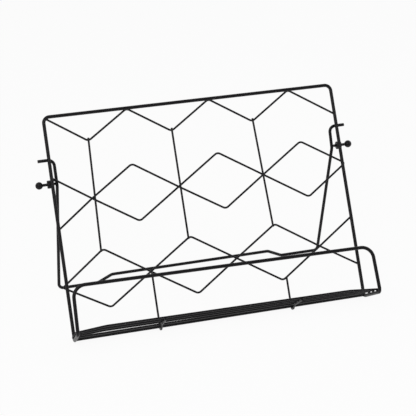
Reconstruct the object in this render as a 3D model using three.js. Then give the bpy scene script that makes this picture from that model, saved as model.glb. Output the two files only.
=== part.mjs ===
import * as THREE from 'three';

// Folding bookstand rack of black coated steel wire, in millimetres, +Z up.
// The panel leans back, a shelf with a low front rail carries the book, and a hinged wire leg
// stands behind. X runs along the shelf, the front is at -Y, and Z = 0 is the table.
// The origin is the bottom centre of the whole stand.

// ---- Driving dimensions ----

const degrees = THREE.MathUtils.degToRad;

// Daylight left where two wires are welded, and round a pin in its hole.
const WELD_GAP = 0.3;
const PIN_CLEARANCE = 0.3;

// Main frame: one closed loop of wire. Widths are between wire centres. The shelf is twisted
// a little, so its front is higher on the left and lower on the right.
const FRAME_WIRE = 3.7;
const FRAME_WIDTH = 320;
const PANEL_HEIGHT = 237.2;
const PANEL_LEAN = degrees(37.3);
const SHELF_DEPTH = 53.3;
const SHELF_ANGLE = degrees(85.1);
const RAIL_HEIGHT = 48.7;
const POST_SPLAY = 1.5;
const SHELF_TWIST = 1.95;
const TOP_BEND = 6.5;
const HEEL_BEND = 5;
const FRONT_BEND = 5;
const RAIL_BEND = 12.5;

// Shelf: a rear wire between the side wires, and three wires lying across them. The stays hold
// these three up between the sides, the front one the most.
const REAR_WIRE = 3;
const REAR_WIRE_OUT = 4;
const REAR_WIRE_UP = 0.8;
const SHELF_WIRE = 2.2;
const SHELF_WIRES = 3;
const FIRST_SHELF_WIRE_OUT = 18.2;
const FRONT_SHELF_WIRE_INSET = 9;
const SHELF_LIFT = 2.7;
const SHELF_LIFT_RUN = 30;
const SHELF_LIFT_BEND = 60;

// Thin wire of the panel's infill, and its bends.
const INFILL_WIRE = 2.2;
const ZIGZAG_BEND = 5;
const VERTEX_BEND = 2;
const HUMP_BEND = 12;

// Zigzag under the top bar.
const ZIGZAG_START_X = -158;
const ZIGZAG_START_DROP = 0.8;
const ZIGZAG_FIRST_VALLEY_X = -115.5;
const ZIGZAG_PITCH = 45.4;
const ZIGZAG_DEPTH = 29.9;
const ZIGZAG_STRANDS = 7;

// Two wires folded into rows of diamonds. Each closes in a vertex past one side wire, and its two
// open ends lie on the other. Heights are along the panel, from the heel.
const DIAMOND_PITCH = 47.4;
const DIAMOND_HALF_HEIGHT = 31;
const DIAMOND_COLUMNS = 6;
const VERTEX_OVERHANG = 4;
const UPPER_DIAMONDS = {
  vertexSide: 1,
  vertexUp: 148.6,
  firstUp: 147.7,
  lastUp: 145.8,
  openEndsUp: { upper: 172.7, lower: 116.8 },
};
const LOWER_DIAMONDS = {
  vertexSide: -1,
  vertexUp: 56.4,
  firstUp: 60.1,
  lastUp: 61.4,
  openEndsUp: { upper: 88, lower: 36 },
};

// Uprights from the zigzag's valleys down to the lower diamonds.
const UPRIGHT_FOOT_SHIFT = -2.6;
const UPRIGHT_LAP = 3;

// A straight wire across the back of the side wires, low at the heel.
const HEEL_WIRE_UP = 3.5;

// Stays from the shelf's front wire, under the heel and up to the lower diamonds.
const LEFT_STAY_X = -69;
const RIGHT_STAY_X = 76.5;
const STAY_FRONT_LAP = 2;
const STAY_TOP_LAP = 2.5;
const STAY_BEND = 4;
const STAY_DIP_RUN = 9.5;
const STAY_DIP_REACH = 3;

// Hinge: an ear on each side wire, a pin through it and a ball on the pin's end. The right ear
// is welded a little higher than the left one, and both lie a little to the left.
const PIVOT_UP = 168.1;
const HINGE_TILT = degrees(0.55);
const HINGE_SHIFT = -0.7;
const EAR_DIAMETER = 8.6;
const EAR_THICKNESS = 5.5;
const EAR_OFFSET = 1.55;
const EAR_CHAMFER = 0.5;
const PIN_DIAMETER = 3;
const BALL_DIAMETER = 8;
const BALL_OFFSET = 12.8;

// Leg: one wire, from a stub behind a side wire, down, across the table and up again.
// Its stubs aren't quite level, and its feet lie to the left of the panel's centre.
const LEG_WIRE = 3.4;
const LEG_INSET = 6.1;
const LEG_OPEN_ANGLE = degrees(33);
const LEFT_STUB_UP = 25.3;
const RIGHT_STUB_UP = 21.8;
const LEG_STUB_OVERHANG = 10.9;
const LEG_STUB_BEND = 6.5;
const LEG_KINK_DROP = 2.5;
const LEG_KINK_BEND = 8;
const FOOT_BEND = 5;
const FOOT_TAPER = 2.9;
const FOOT_SHIFT = -12;
const FOOT_LENGTH = 44;
const ARCH_RISE = 8;
const ARCH_RUN = 16;
const ARCH_BEND = 6;

// Facets of the round wires and turned pieces.
const THICK_SIDES = 10;
const THIN_SIDES = 8;
const TURNED_SIDES = 16;
const BEND_STEP = degrees(30);

// ---- Sizes worked out from them ----

const frameRadius = FRAME_WIRE / 2;
const rearRadius = REAR_WIRE / 2;
const shelfWireRadius = SHELF_WIRE / 2;
const infillRadius = INFILL_WIRE / 2;
const earRadius = EAR_DIAMETER / 2;
const pinRadius = PIN_DIAMETER / 2;
const ballRadius = BALL_DIAMETER / 2;
const legRadius = LEG_WIRE / 2;
const sideX = FRAME_WIDTH / 2;
const sideOuterX = sideX + frameRadius;

// Layers of the panel, as distances behind its centre plane.
const backLayer = frameRadius + WELD_GAP + infillRadius;
const frontLayer = backLayer - INFILL_WIRE - WELD_GAP;
const humpLayer = backLayer + INFILL_WIRE + WELD_GAP;

// The shelf's own axes, in the panel's frame: out along its depth, and up from it.
const shelfOut = new THREE.Vector3(0, -Math.sin(SHELF_ANGLE), Math.cos(SHELF_ANGLE));
const shelfUp = new THREE.Vector3(0, Math.cos(SHELF_ANGLE), Math.sin(SHELF_ANGLE));
const shelfWireUp = frameRadius + WELD_GAP + shelfWireRadius;
const stayUp = shelfWireUp - shelfWireRadius - WELD_GAP - infillRadius;
const stayDipUp = REAR_WIRE_UP - rearRadius - WELD_GAP - infillRadius;
const frontShelfWireOut = SHELF_DEPTH - FRONT_SHELF_WIRE_INSET;
const shelfWirePitch = (frontShelfWireOut - FIRST_SHELF_WIRE_OUT) / (SHELF_WIRES - 1);

const pivotBack = frameRadius + WELD_GAP + earRadius;
const legX = sideX - LEG_INSET;

// ---- Wires ----

const point = (x, back, up) => new THREE.Vector3(x, back, up);
const corner = (at, bend) => ({ at, bend });

function onShelf(x, out, up) {
  return point(x, 0, 0).addScaledVector(shelfOut, out).addScaledVector(shelfUp, up);
}

// How far the side wire on one side rises above the untwisted shelf.
const twistUp = (side, out) => (-side * SHELF_TWIST * out) / SHELF_DEPTH;

// How far the stays lift the shelf between the sides.
const liftUp = (out) => (SHELF_LIFT * out) / frontShelfWireOut;

// The stations of one bend: an arc tangent to the run before the corner and to the run after it.
function bendStations(before, { at, bend }, after) {
  const incoming = at.clone().sub(before).normalize();
  const outgoing = after.clone().sub(at).normalize();
  const turn = incoming.angleTo(outgoing);
  if (turn < 1e-4) {
    return [];
  }
  const room = Math.min(before.distanceTo(at), at.distanceTo(after)) / 2;
  const setback = Math.min(bend * Math.tan(turn / 2), room);
  const radius = setback / Math.tan(turn / 2);
  const axis = incoming.clone().cross(outgoing).normalize();
  const start = at.clone().addScaledVector(incoming, -setback);
  const centre = start.clone().addScaledVector(axis.clone().cross(incoming), radius);
  const steps = Math.ceil(turn / BEND_STEP);
  return Array.from({ length: steps + 1 }, (_, step) => {
    const swing = (turn * step) / steps;
    return {
      at: start.clone().sub(centre).applyAxisAngle(axis, swing).add(centre),
      tangent: incoming.clone().applyAxisAngle(axis, swing),
    };
  });
}

// A bent wire's centreline. It has a station at each end of the wire and along each bend, and
// none along the straight runs between them.
class BentWire extends THREE.Curve {
  constructor(corners, closed) {
    super();
    const places = corners.map(({ at }) => at);
    const last = corners.length - 1;
    const bends = closed ? corners : corners.slice(1, last);
    const firstBend = closed ? 0 : 1;
    this.stations = bends.flatMap((bent, index) => {
      const here = index + firstBend;
      return bendStations(places.at(here - 1), bent, places[(here + 1) % places.length]);
    });
    if (!closed) {
      const leaving = places[1].clone().sub(places[0]).normalize();
      const arriving = places[last].clone().sub(places[last - 1]).normalize();
      this.stations.unshift({ at: places[0], tangent: leaving });
      this.stations.push({ at: places[last], tangent: arriving });
    }
    this.segments = closed ? this.stations.length : this.stations.length - 1;
  }

  station(share) {
    return this.stations[Math.round(share * this.segments) % this.stations.length];
  }

  getPointAt(share, target = new THREE.Vector3()) {
    return target.copy(this.station(share).at);
  }

  getTangentAt(share, target = new THREE.Vector3()) {
    return target.copy(this.station(share).tangent);
  }
}

function circleShape(radius, sides) {
  const outline = Array.from({ length: sides }, (_, side) => {
    const angle = (2 * Math.PI * side) / sides;
    return new THREE.Vector2(radius * Math.cos(angle), radius * Math.sin(angle));
  });
  return new THREE.Shape(outline);
}

const coating = { color: 0x17161a, roughness: 0.45, metalness: 0.1 };

function coatedMesh(name, geometry) {
  const mesh = new THREE.Mesh(geometry, new THREE.MeshStandardMaterial(coating));
  mesh.name = name;
  return mesh;
}

function openWire(name, diameter, sides, corners) {
  const path = new BentWire(corners, false);
  const section = circleShape(diameter / 2, sides);
  const settings = { steps: path.segments, extrudePath: path };
  return coatedMesh(name, new THREE.ExtrudeGeometry(section, settings));
}

function closedWire(name, diameter, sides, corners) {
  const path = new BentWire(corners, true);
  return coatedMesh(name, new THREE.TubeGeometry(path, path.segments, diameter / 2, sides, true));
}

function infillWire(name, corners) {
  return openWire(name, INFILL_WIRE, THIN_SIDES, corners);
}

// ---- Main frame and shelf ----

// One side of the loop, from the top bar down round the heel and up the post to the front rail.
function frameSide(side) {
  const x = side * sideX;
  const front = onShelf(x, SHELF_DEPTH, twistUp(side, SHELF_DEPTH));
  const rail = front.clone().add(point(-side * POST_SPLAY, 0, RAIL_HEIGHT));
  return [
    corner(point(x, 0, PANEL_HEIGHT), TOP_BEND),
    corner(point(x, 0, 0), HEEL_BEND),
    corner(front, FRONT_BEND),
    corner(rail, RAIL_BEND),
  ];
}

function frameWire() {
  const corners = [...frameSide(-1), ...frameSide(1).reverse()];
  return closedWire('frame_wire', FRAME_WIRE, THICK_SIDES, corners);
}

function rearShelfWire() {
  const end = sideX - frameRadius - WELD_GAP;
  const corners = [-end, end].map((x) => corner(onShelf(x, REAR_WIRE_OUT, REAR_WIRE_UP), 0));
  return openWire('shelf_wire_rear', REAR_WIRE, THICK_SIDES, corners);
}

// A wire across the side wires, at a distance out from the heel.
function crossShelfWire(name, out) {
  const liftedX = sideX - SHELF_LIFT_RUN;
  const half = (side) => {
    const endUp = shelfWireUp + twistUp(side, out);
    const middleUp = shelfWireUp + liftUp(out) + (twistUp(side, out) * liftedX) / sideX;
    return [
      corner(onShelf(side * sideOuterX, out, endUp), 0),
      corner(onShelf(side * liftedX, out, middleUp), SHELF_LIFT_BEND),
    ];
  };
  return openWire(name, SHELF_WIRE, THIN_SIDES, [...half(-1), ...half(1).reverse()]);
}

function shelfWires() {
  const across = Array.from({ length: SHELF_WIRES }, (_, row) => {
    const out = FIRST_SHELF_WIRE_OUT + row * shelfWirePitch;
    return crossShelfWire(`shelf_wire_${row + 1}`, out);
  });
  return [rearShelfWire(), ...across];
}

// ---- Infill of the panel ----

const zigzagX = (turn) => ZIGZAG_FIRST_VALLEY_X + turn * ZIGZAG_PITCH;
const valleyUp = PANEL_HEIGHT - ZIGZAG_DEPTH;

function topZigzag() {
  const start = point(ZIGZAG_START_X, backLayer, PANEL_HEIGHT - ZIGZAG_START_DROP);
  const corners = [corner(start, 0)];
  const turns = ZIGZAG_STRANDS - 1;
  for (let turn = 0; turn < turns; turn += 1) {
    const up = turn % 2 === 0 ? valleyUp : PANEL_HEIGHT;
    corners.push(corner(point(zigzagX(turn), backLayer, up), ZIGZAG_BEND));
  }
  const lastRun = sideOuterX - zigzagX(turns - 1);
  const endUp = PANEL_HEIGHT - (lastRun * ZIGZAG_DEPTH) / ZIGZAG_PITCH;
  corners.push(corner(point(sideOuterX, backLayer, endUp), 0));
  return infillWire('top_zigzag', corners);
}

// Column 0 is the vertex. The strands are apart at odd columns and cross at even ones.
function diamondX({ vertexSide }, column) {
  return vertexSide * (sideX + VERTEX_OVERHANG - column * DIAMOND_PITCH);
}

function diamondUp({ firstUp, lastUp }, column) {
  return firstUp + ((lastUp - firstUp) * (column - 1)) / (DIAMOND_COLUMNS - 1);
}

// One strand, from the vertex's neighbour to the open end. It starts above the row's middle or
// below it, and at the crossings it lies in the layer given.
function diamondStrand(row, startSide, crossingLayer) {
  const corners = [];
  let strandSide = startSide;
  for (let column = 1; column <= DIAMOND_COLUMNS; column += 1) {
    const x = diamondX(row, column);
    const middle = diamondUp(row, column);
    if (column % 2 === 1) {
      const up = middle + strandSide * DIAMOND_HALF_HEIGHT;
      corners.push(corner(point(x, backLayer, up), ZIGZAG_BEND));
      strandSide = -strandSide;
    } else {
      corners.push(corner(point(x, crossingLayer, middle), HUMP_BEND));
    }
  }
  const endUp = strandSide > 0 ? row.openEndsUp.upper : row.openEndsUp.lower;
  corners.push(corner(point(-row.vertexSide * sideX, backLayer, endUp), 0));
  return corners;
}

// The strand that ends above the other lies flat, and the other passes behind it at each crossing.
function diamondWire(name, row) {
  const flatStrand = diamondStrand(row, -1, backLayer);
  const humpStrand = diamondStrand(row, 1, humpLayer);
  const vertex = corner(point(diamondX(row, 0), backLayer, row.vertexUp), VERTEX_BEND);
  return infillWire(name, [...flatStrand.reverse(), vertex, ...humpStrand]);
}

function heelWire() {
  const end = (side) => corner(point(side * sideOuterX, backLayer, HEEL_WIRE_UP), 0);
  const corners = [end(-1), end(1)];
  return infillWire('panel_heel_wire', corners);
}

function uprights() {
  const names = ['upright_left', 'upright_middle', 'upright_right'];
  return names.map((name, index) => {
    const valleyX = zigzagX(2 * index);
    const column = 2 * index + 1;
    const peakX = diamondX(LOWER_DIAMONDS, column);
    const peakUp = diamondUp(LOWER_DIAMONDS, column) + DIAMOND_HALF_HEIGHT;
    const top = point(valleyX, frontLayer, valleyUp + UPRIGHT_LAP);
    const bottom = point(peakX + UPRIGHT_FOOT_SHIFT, frontLayer, peakUp - UPRIGHT_LAP);
    return infillWire(name, [corner(top, 0), corner(bottom, 0)]);
  });
}

// A stay lies under the shelf wires, dips under the rear wire, turns round the heel and climbs
// the panel's front layer.
function shelfStay(name, x, topUp) {
  const heelOut = (stayDipUp * Math.cos(SHELF_ANGLE) - frontLayer) / Math.sin(SHELF_ANGLE);
  const frontOut = frontShelfWireOut + STAY_FRONT_LAP;
  const dipEnd = REAR_WIRE_OUT + STAY_DIP_REACH;
  const dipStart = dipEnd + STAY_DIP_RUN;
  const runUp = (out) => stayUp + liftUp(out) + twistUp(x / sideX, out);
  return infillWire(name, [
    corner(onShelf(x, frontOut, runUp(frontOut)), 0),
    corner(onShelf(x, dipStart, runUp(dipStart)), STAY_BEND),
    corner(onShelf(x, dipEnd, stayDipUp), STAY_BEND),
    corner(onShelf(x, heelOut, stayDipUp), STAY_BEND),
    corner(point(x, frontLayer, topUp + STAY_TOP_LAP), 0),
  ]);
}

// The left stay ends at a crossing of the lower diamonds, the right one at a low point.
function shelfStays() {
  const crossingUp = diamondUp(LOWER_DIAMONDS, 2);
  const lowPointUp = diamondUp(LOWER_DIAMONDS, 5) - DIAMOND_HALF_HEIGHT;
  return [
    shelfStay('shelf_stay_left', LEFT_STAY_X, crossingUp),
    shelfStay('shelf_stay_right', RIGHT_STAY_X, lowPointUp),
  ];
}

// ---- Hinge and leg ----

// A turned piece from its profile of [radius, along], with its axis along X and its outer end
// away from the stand's middle.
function turnedMesh(name, profile, side) {
  const outline = profile.map(([radius, along]) => new THREE.Vector2(radius, along));
  const geometry = new THREE.LatheGeometry(outline, TURNED_SIDES);
  const mesh = coatedMesh(name, geometry);
  mesh.rotation.z = (-side * Math.PI) / 2;
  return mesh;
}

function pivotEar(name, side) {
  const bore = pinRadius + PIN_CLEARANCE;
  const half = EAR_THICKNESS / 2;
  const shoulder = earRadius - EAR_CHAMFER;
  const mesh = turnedMesh(name, [
    [bore, -half],
    [shoulder, -half],
    [earRadius, EAR_CHAMFER - half],
    [earRadius, half - EAR_CHAMFER],
    [shoulder, half],
    [bore, half],
    [bore, -half],
  ], side);
  const along = side * (sideX + EAR_OFFSET);
  mesh.position.set(HINGE_SHIFT + along, pivotBack, PIVOT_UP + along * Math.tan(HINGE_TILT));
  return mesh;
}

// The pin starts at the leg's arm and ends in the ball's blind bore.
function pivotPin(name, side) {
  const inner = legX + legRadius + WELD_GAP;
  const outer = sideX + BALL_OFFSET - PIN_CLEARANCE;
  const geometry = new THREE.CylinderGeometry(pinRadius, pinRadius, outer - inner, TURNED_SIDES);
  const mesh = coatedMesh(name, geometry);
  mesh.rotation.z = (-side * Math.PI) / 2;
  mesh.position.x = (side * (inner + outer)) / 2;
  return mesh;
}

// The bore reaches the ball's centre from its inner side.
function pinBall(name, side) {
  const bore = pinRadius + PIN_CLEARANCE;
  const mouth = Math.asin(bore / ballRadius);
  const rings = TURNED_SIDES / 2;
  const profile = [[0, 0], [bore, 0]];
  for (let ring = 0; ring < rings; ring += 1) {
    const angle = mouth + ((Math.PI - mouth) * ring) / rings;
    profile.push([ballRadius * Math.sin(angle), -ballRadius * Math.cos(angle)]);
  }
  profile.push([0, ballRadius]);
  const mesh = turnedMesh(name, profile, side);
  mesh.position.x = side * (sideX + BALL_OFFSET);
  return mesh;
}

// Height above the heel's corner of a point of the panel's frame, once the panel leans back.
const heightOf = (back, up) => up * Math.cos(PANEL_LEAN) - back * Math.sin(PANEL_LEAN);

// Lowest height of a wire that turns at the heel from the shelf's direction to the panel's.
function heelBottom(layer, up, bend, radius) {
  const centreBack = layer - bend;
  const centreUp = (up + bend - centreBack * Math.cos(SHELF_ANGLE)) / Math.sin(SHELF_ANGLE);
  return heightOf(centreBack, centreUp) - bend - radius;
}

// The leg is drawn in a frame of its own: its pivot axis is X and its lower arms hang along -Z.
function rearLeg() {
  const table = Math.min(
    heelBottom(frontLayer, stayDipUp, STAY_BEND, infillRadius),
    heelBottom(0, 0, HEEL_BEND, frameRadius),
  );
  const drop = heightOf(pivotBack, PIVOT_UP) - table - legRadius;
  const dropAt = (x) => drop + x * Math.sin(HINGE_TILT) * Math.cos(PANEL_LEAN);
  const legLength = (x) => dropAt(x) / Math.cos(PANEL_LEAN - LEG_OPEN_ANGLE);
  const stubBack = frameRadius + WELD_GAP + legRadius - pivotBack;
  const pivotAxis = new THREE.Vector3(1, 0, 0);
  const onStub = (x, up) => point(x, stubBack, up).applyAxisAngle(pivotAxis, -LEG_OPEN_ANGLE);

  const legSide = (side) => {
    const stubUp = side < 0 ? LEFT_STUB_UP : RIGHT_STUB_UP;
    const footX = side * (legX - FOOT_TAPER) + FOOT_SHIFT;
    const footEndX = footX - side * FOOT_LENGTH;
    const archX = footEndX - side * ARCH_RUN;
    return [
      corner(onStub(side * (sideX + LEG_STUB_OVERHANG), stubUp), 0),
      corner(onStub(side * legX, stubUp), LEG_STUB_BEND),
      corner(point(side * legX, 0, -LEG_KINK_DROP), LEG_KINK_BEND),
      corner(point(footX, 0, -legLength(footX)), FOOT_BEND),
      corner(point(footEndX, 0, -legLength(footEndX)), ARCH_BEND),
      corner(point(archX, 0, ARCH_RISE - legLength(archX)), ARCH_BEND),
    ];
  };
  const corners = [...legSide(-1), ...legSide(1).reverse()];
  return openWire('rear_leg', LEG_WIRE, THICK_SIDES, corners);
}

function legAssembly() {
  const leg = new THREE.Group();
  leg.add(
    rearLeg(),
    pivotPin('pivot_pin_left', -1),
    pivotPin('pivot_pin_right', 1),
    pinBall('pin_ball_left', -1),
    pinBall('pin_ball_right', 1),
  );
  leg.position.set(HINGE_SHIFT, pivotBack, PIVOT_UP);
  leg.rotation.set(LEG_OPEN_ANGLE, -HINGE_TILT, 0, 'YXZ');
  return leg;
}

// ---- The stand ----

// Everything is built in the panel's frame, whose origin is the heel, and then leans back.
function bookstand() {
  const panel = new THREE.Group();
  panel.add(
    frameWire(),
    ...shelfWires(),
    ...shelfStays(),
    topZigzag(),
    diamondWire('upper_diamonds', UPPER_DIAMONDS),
    diamondWire('lower_diamonds', LOWER_DIAMONDS),
    heelWire(),
    ...uprights(),
    pivotEar('pivot_ear_left', -1),
    pivotEar('pivot_ear_right', 1),
    legAssembly(),
  );
  panel.rotation.x = -PANEL_LEAN;

  const stand = new THREE.Group();
  stand.add(panel);
  stand.updateMatrixWorld(true);
  const box = new THREE.Box3().setFromObject(stand, true);
  const centre = box.getCenter(new THREE.Vector3());
  panel.position.set(-centre.x, -centre.y, -box.min.z);
  return stand;
}

export default bookstand();
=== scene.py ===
"""Folding bookstand rack of black coated steel wire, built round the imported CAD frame.

Lengths are metres in the row frame: X along the shelf, Y to the back, Z up from the table. Wires
are drawn in the panel's own frame first, as (x, back, up) from the heel, and then leaned back.
"""

import math
from collections import namedtuple

import bmesh
import bpy
import numpy as np
from bpy.props import FloatProperty, IntProperty, PointerProperty, StringProperty
from bpy.types import Operator, Panel, PropertyGroup
from mathutils import Matrix, Vector


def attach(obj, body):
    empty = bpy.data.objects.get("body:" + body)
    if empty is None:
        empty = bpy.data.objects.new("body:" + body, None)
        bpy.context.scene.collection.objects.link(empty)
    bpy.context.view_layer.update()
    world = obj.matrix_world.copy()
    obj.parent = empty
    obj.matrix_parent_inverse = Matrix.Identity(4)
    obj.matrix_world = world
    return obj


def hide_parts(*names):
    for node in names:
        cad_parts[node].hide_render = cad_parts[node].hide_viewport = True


bl_info = {
    "name": "Folding Bookstand Rack",
    "version": (1, 0, 0),
    "blender": (4, 5, 0),
    "location": "3D View > Sidebar > Bookstand",
    "description": "Builds a wire bookstand with a leaning panel, a shelf and a folding leg",
    "category": "Add Mesh",
}

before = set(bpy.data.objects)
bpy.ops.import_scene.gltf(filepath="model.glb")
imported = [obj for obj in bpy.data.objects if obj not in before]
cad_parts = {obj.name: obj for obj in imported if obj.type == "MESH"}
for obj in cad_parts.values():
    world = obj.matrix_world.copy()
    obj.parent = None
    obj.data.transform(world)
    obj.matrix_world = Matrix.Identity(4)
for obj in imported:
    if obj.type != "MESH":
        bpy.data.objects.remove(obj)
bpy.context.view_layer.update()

MM = 0.001
SMALLEST_LENGTH = 0.1 * MM

# ---- Sizes that stay as they are, in metres ----

# Where the heel's corner of the panel stands in the row frame.
HEEL_CORNER = Vector((0.7, -53.11, 1.5418)) * MM

WELD_GAP = 0.3 * MM
PIN_CLEARANCE = 0.3 * MM

POST_SPLAY = 1.5 * MM
SHELF_TWIST = 1.95 * MM
TOP_BEND = 6.5 * MM
HEEL_BEND = 5 * MM
FRONT_BEND = 5 * MM
RAIL_BEND = 12.5 * MM

REAR_WIRE_OUT = 4 * MM
REAR_WIRE_UP = 0.8 * MM
FIRST_SHELF_WIRE_OUT = 18.2 * MM
FRONT_SHELF_WIRE_INSET = 9 * MM
SHELF_LIFT = 2.7 * MM
SHELF_LIFT_RUN = 30 * MM
SHELF_LIFT_BEND = 60 * MM

# The stays, and the columns of the lower diamonds that they end at.
STAY_X = {"left": -69 * MM, "right": 76.5 * MM}
STAY_COLUMN = {"left": 2, "right": 5}
STAY_FRONT_LAP = 2 * MM
STAY_TOP_LAP = 2.5 * MM
STAY_BEND = 4 * MM
STAY_DIP_RUN = 9.5 * MM
STAY_DIP_REACH = 3 * MM

ZIGZAG_BEND = 5 * MM
VERTEX_BEND = 2 * MM
HUMP_BEND = 12 * MM
ZIGZAG_START_X = -158 * MM
ZIGZAG_START_DROP = 0.8 * MM
ZIGZAG_FIRST_VALLEY_X = -115.5 * MM
ZIGZAG_PITCH = 45.4 * MM
ZIGZAG_DEPTH = 29.9 * MM
ZIGZAG_STRANDS = 7

# A row of diamonds: the side wire that it closes at, the heights of its vertex and of its first
# and last columns, and the heights of its two open ends.
DiamondRow = namedtuple("DiamondRow", "side vertex_up first_up last_up upper_end lower_end")
UPPER_ROW = DiamondRow(1, 148.6 * MM, 147.7 * MM, 145.8 * MM, 172.7 * MM, 116.8 * MM)
LOWER_ROW = DiamondRow(-1, 56.4 * MM, 60.1 * MM, 61.4 * MM, 88 * MM, 36 * MM)
DIAMOND_PITCH = 47.4 * MM
DIAMOND_HALF_HEIGHT = 31 * MM
DIAMOND_COLUMNS = 6
VERTEX_OVERHANG = 4 * MM
HEEL_WIRE_UP = 3.5 * MM
UPRIGHT_FOOT_SHIFT = -2.6 * MM
UPRIGHT_LAP = 3 * MM

HINGE_TILT = math.radians(0.55)
HINGE_SHIFT = -0.7 * MM
EAR_OFFSET = 1.55 * MM
EAR_ROUNDING = 0.7 * MM
EAR_BORE_ROUNDING = EAR_ROUNDING / 3
BALL_OFFSET = 12.8 * MM
BALL_LIP = 0.35 * MM

LEG_INSET = 6.1 * MM
STUB_UP = {-1: 25.3 * MM, 1: 21.8 * MM}
STUB_OVERHANG = 10.9 * MM
STUB_BEND = 6.5 * MM
KINK_DROP = 2.5 * MM
KINK_BEND = 8 * MM
FOOT_BEND = 5 * MM
FOOT_TAPER = 2.9 * MM
FOOT_SHIFT = -12 * MM
FOOT_LENGTH = 44 * MM
ARCH_RISE = 8 * MM
ARCH_RUN = 16 * MM
ARCH_BEND = 6 * MM

# Finish of the meshes: the turn between two rings of a bend, the sides of the thick and thin wires,
# the steps along the arcs of a turned piece, and the sawn ends' rounded edges.
BEND_STEP = math.radians(4)
STRAIGHT_TURN = 1e-4
THICK_FROM = 2.9 * MM
THICK_SIDES = 40
THIN_SIDES = 28
TURNED_SIDES = 64
RIM_STEPS = 8
BORE_STEPS = 4
LIP_STEPS = 5
BALL_STEPS = 40
END_ROUNDING = 0.22
END_RINGS = 5
SHARP_ANGLE = math.radians(50)

# A turned piece's profile: what counts as on its axis, where the ball's lip runs into the ball, and
# how near the ball's arc comes to its far pole, in degrees.
ON_AXIS = 1e-7
LIP_END = 250
BALL_ARC_END = 89

# Welds: how near two wires lie to be welded, how far apart two welds are at least, and the bead
# against the thinner wire's radius, across the joint and through it. VERTEX_REACH is how far from a
# folded wire's vertex its two strands count as one line, which isn't welded to itself.
WELD_REACH = 0.6 * MM
WELD_SPACING = 7 * MM
WELD_SAMPLE = 1 * MM
WELD_FINE_SAMPLE = 0.1 * MM
WELD_SPREAD = 1.12
WELD_THICKNESS = 0.5
WELD_SEED = 7
BEAD_SUBDIVISIONS = 4
WELD_LUMP = 0.12 * MM
WELD_LUMP_WIDTH = 0.9 * MM
VERTEX_REACH = 12 * MM

# Powder coat: the noise levels between which the chalky patches, the rubbed specks and the grain
# set in, and how deep the dimples and the grain go.
COAT_NAME = "satin_black_powder_coat"
PATCH_LEVELS = (0.38, 0.66)
SPECK_LEVELS = (0.66, 0.72)
GRAIN_LEVELS = (0.3, 0.7)
PATCH_DETAIL = 3.0
SPECK_DETAIL = 6.0
SPECK_WIDTH = 2  # against the dimples
PEEL_STRENGTH = 0.35
PEEL_DEPTH = 0.06 * MM
GRAIN_STRENGTH = 0.2
GRAIN_DEPTH = 0.02 * MM
COAT_IOR = 1.5
COAT_SPECULAR = 0.25

# Stage: how far the floor reaches, where the room starts and stops getting darker towards its
# front, and the lamps.
FLOOR_REACH = 6.0
PAPER_ROUGHNESS = 0.6
ROOM_FRONT = -0.3
ROOM_BACK = 0.6
LAMP_AIM = (0, 0, 0.09)
KEY_AT = (-0.75, -0.85, 1.35)
KEY_SIZE = 1.3
FILL_AT = (1.25, -0.35, 0.9)
FILL_SIZE = 1.0

# The photograph's camera: 416 pixels across a 36 mm sensor.
CAMERA_AT = Vector((-0.25531, -0.98907, 0.74437))
CAMERA_AZIMUTH = math.radians(-14.3333)
CAMERA_ELEVATION = math.radians(31.9268)
CAMERA_LENS = 98.44
CAMERA_SENSOR = 36


# ---- Settings ----


def number(name, default, description, **details):
    """A number that a user may change."""
    return FloatProperty(name=name, description=description, default=default, **details)


def length(name, millimetres, description):
    """A length that a user may change."""
    details = {"min": SMALLEST_LENGTH, "unit": "LENGTH", "precision": 5}
    return number(name, millimetres * MM, description, **details)


def angle(name, degrees, description):
    """An angle that a user may change."""
    return number(name, math.radians(degrees), description, unit="ROTATION")


def share(name, value, description):
    """A number from 0 to 1 that a user may change."""
    return number(name, value, description, min=0, max=1, subtype="FACTOR")


def power(name, watts, description):
    """A lamp's power that a user may change."""
    return number(name, watts, description, unit="POWER")


def colour(name, hexadecimal, description):
    """A colour as an sRGB hex value."""
    return StringProperty(name=name, description=description, default=hexadecimal)


class WireSizes(PropertyGroup):
    """Diameters of the wires"""

    frame: length("Frame", 3.7, "Wire of the main loop")
    leg: length("Leg", 3.4, "Wire of the rear leg")
    rear: length("Rear shelf wire", 3, "Wire at the foot of the panel")
    shelf: length("Shelf wires", 2.2, "Wires lying across the shelf")
    infill: length("Infill", 2.2, "Wires of the zigzag, diamonds, uprights and stays")


class StandSizes(PropertyGroup):
    """Main sizes of the stand"""

    width: length("Width", 320, "Between the centres of the side wires")
    panel_height: length("Panel height", 237.2, "From the heel to the top bar, up the slope")
    panel_lean: angle("Panel lean", 37.3, "From the vertical")
    shelf_depth: length("Shelf depth", 53.3, "From the heel to the front bend")
    shelf_angle: angle("Shelf angle", 85.1, "Between the panel and the shelf")
    rail_height: length("Rail height", 48.7, "Front rail above the shelf")
    shelf_wires: IntProperty(
        name="Shelf wires",
        description="How many wires lie across the shelf",
        default=3,
        min=2,
    )


class HingeSizes(PropertyGroup):
    """Sizes of the hinge and the angle of the open leg"""

    pivot_up: length("Pivot height", 168.1, "From the heel, up the panel")
    ear: length("Ear", 8.6, "Outer diameter of the ears")
    ear_thickness: length("Ear thickness", 5.5, "Length of the ears along the pin")
    pin: length("Pin", 3, "Diameter of the pins")
    ball: length("Ball", 8, "Diameter of the balls on the pins' ends")
    leg_open: angle("Open leg", 33, "Between the panel and the leg")


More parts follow.
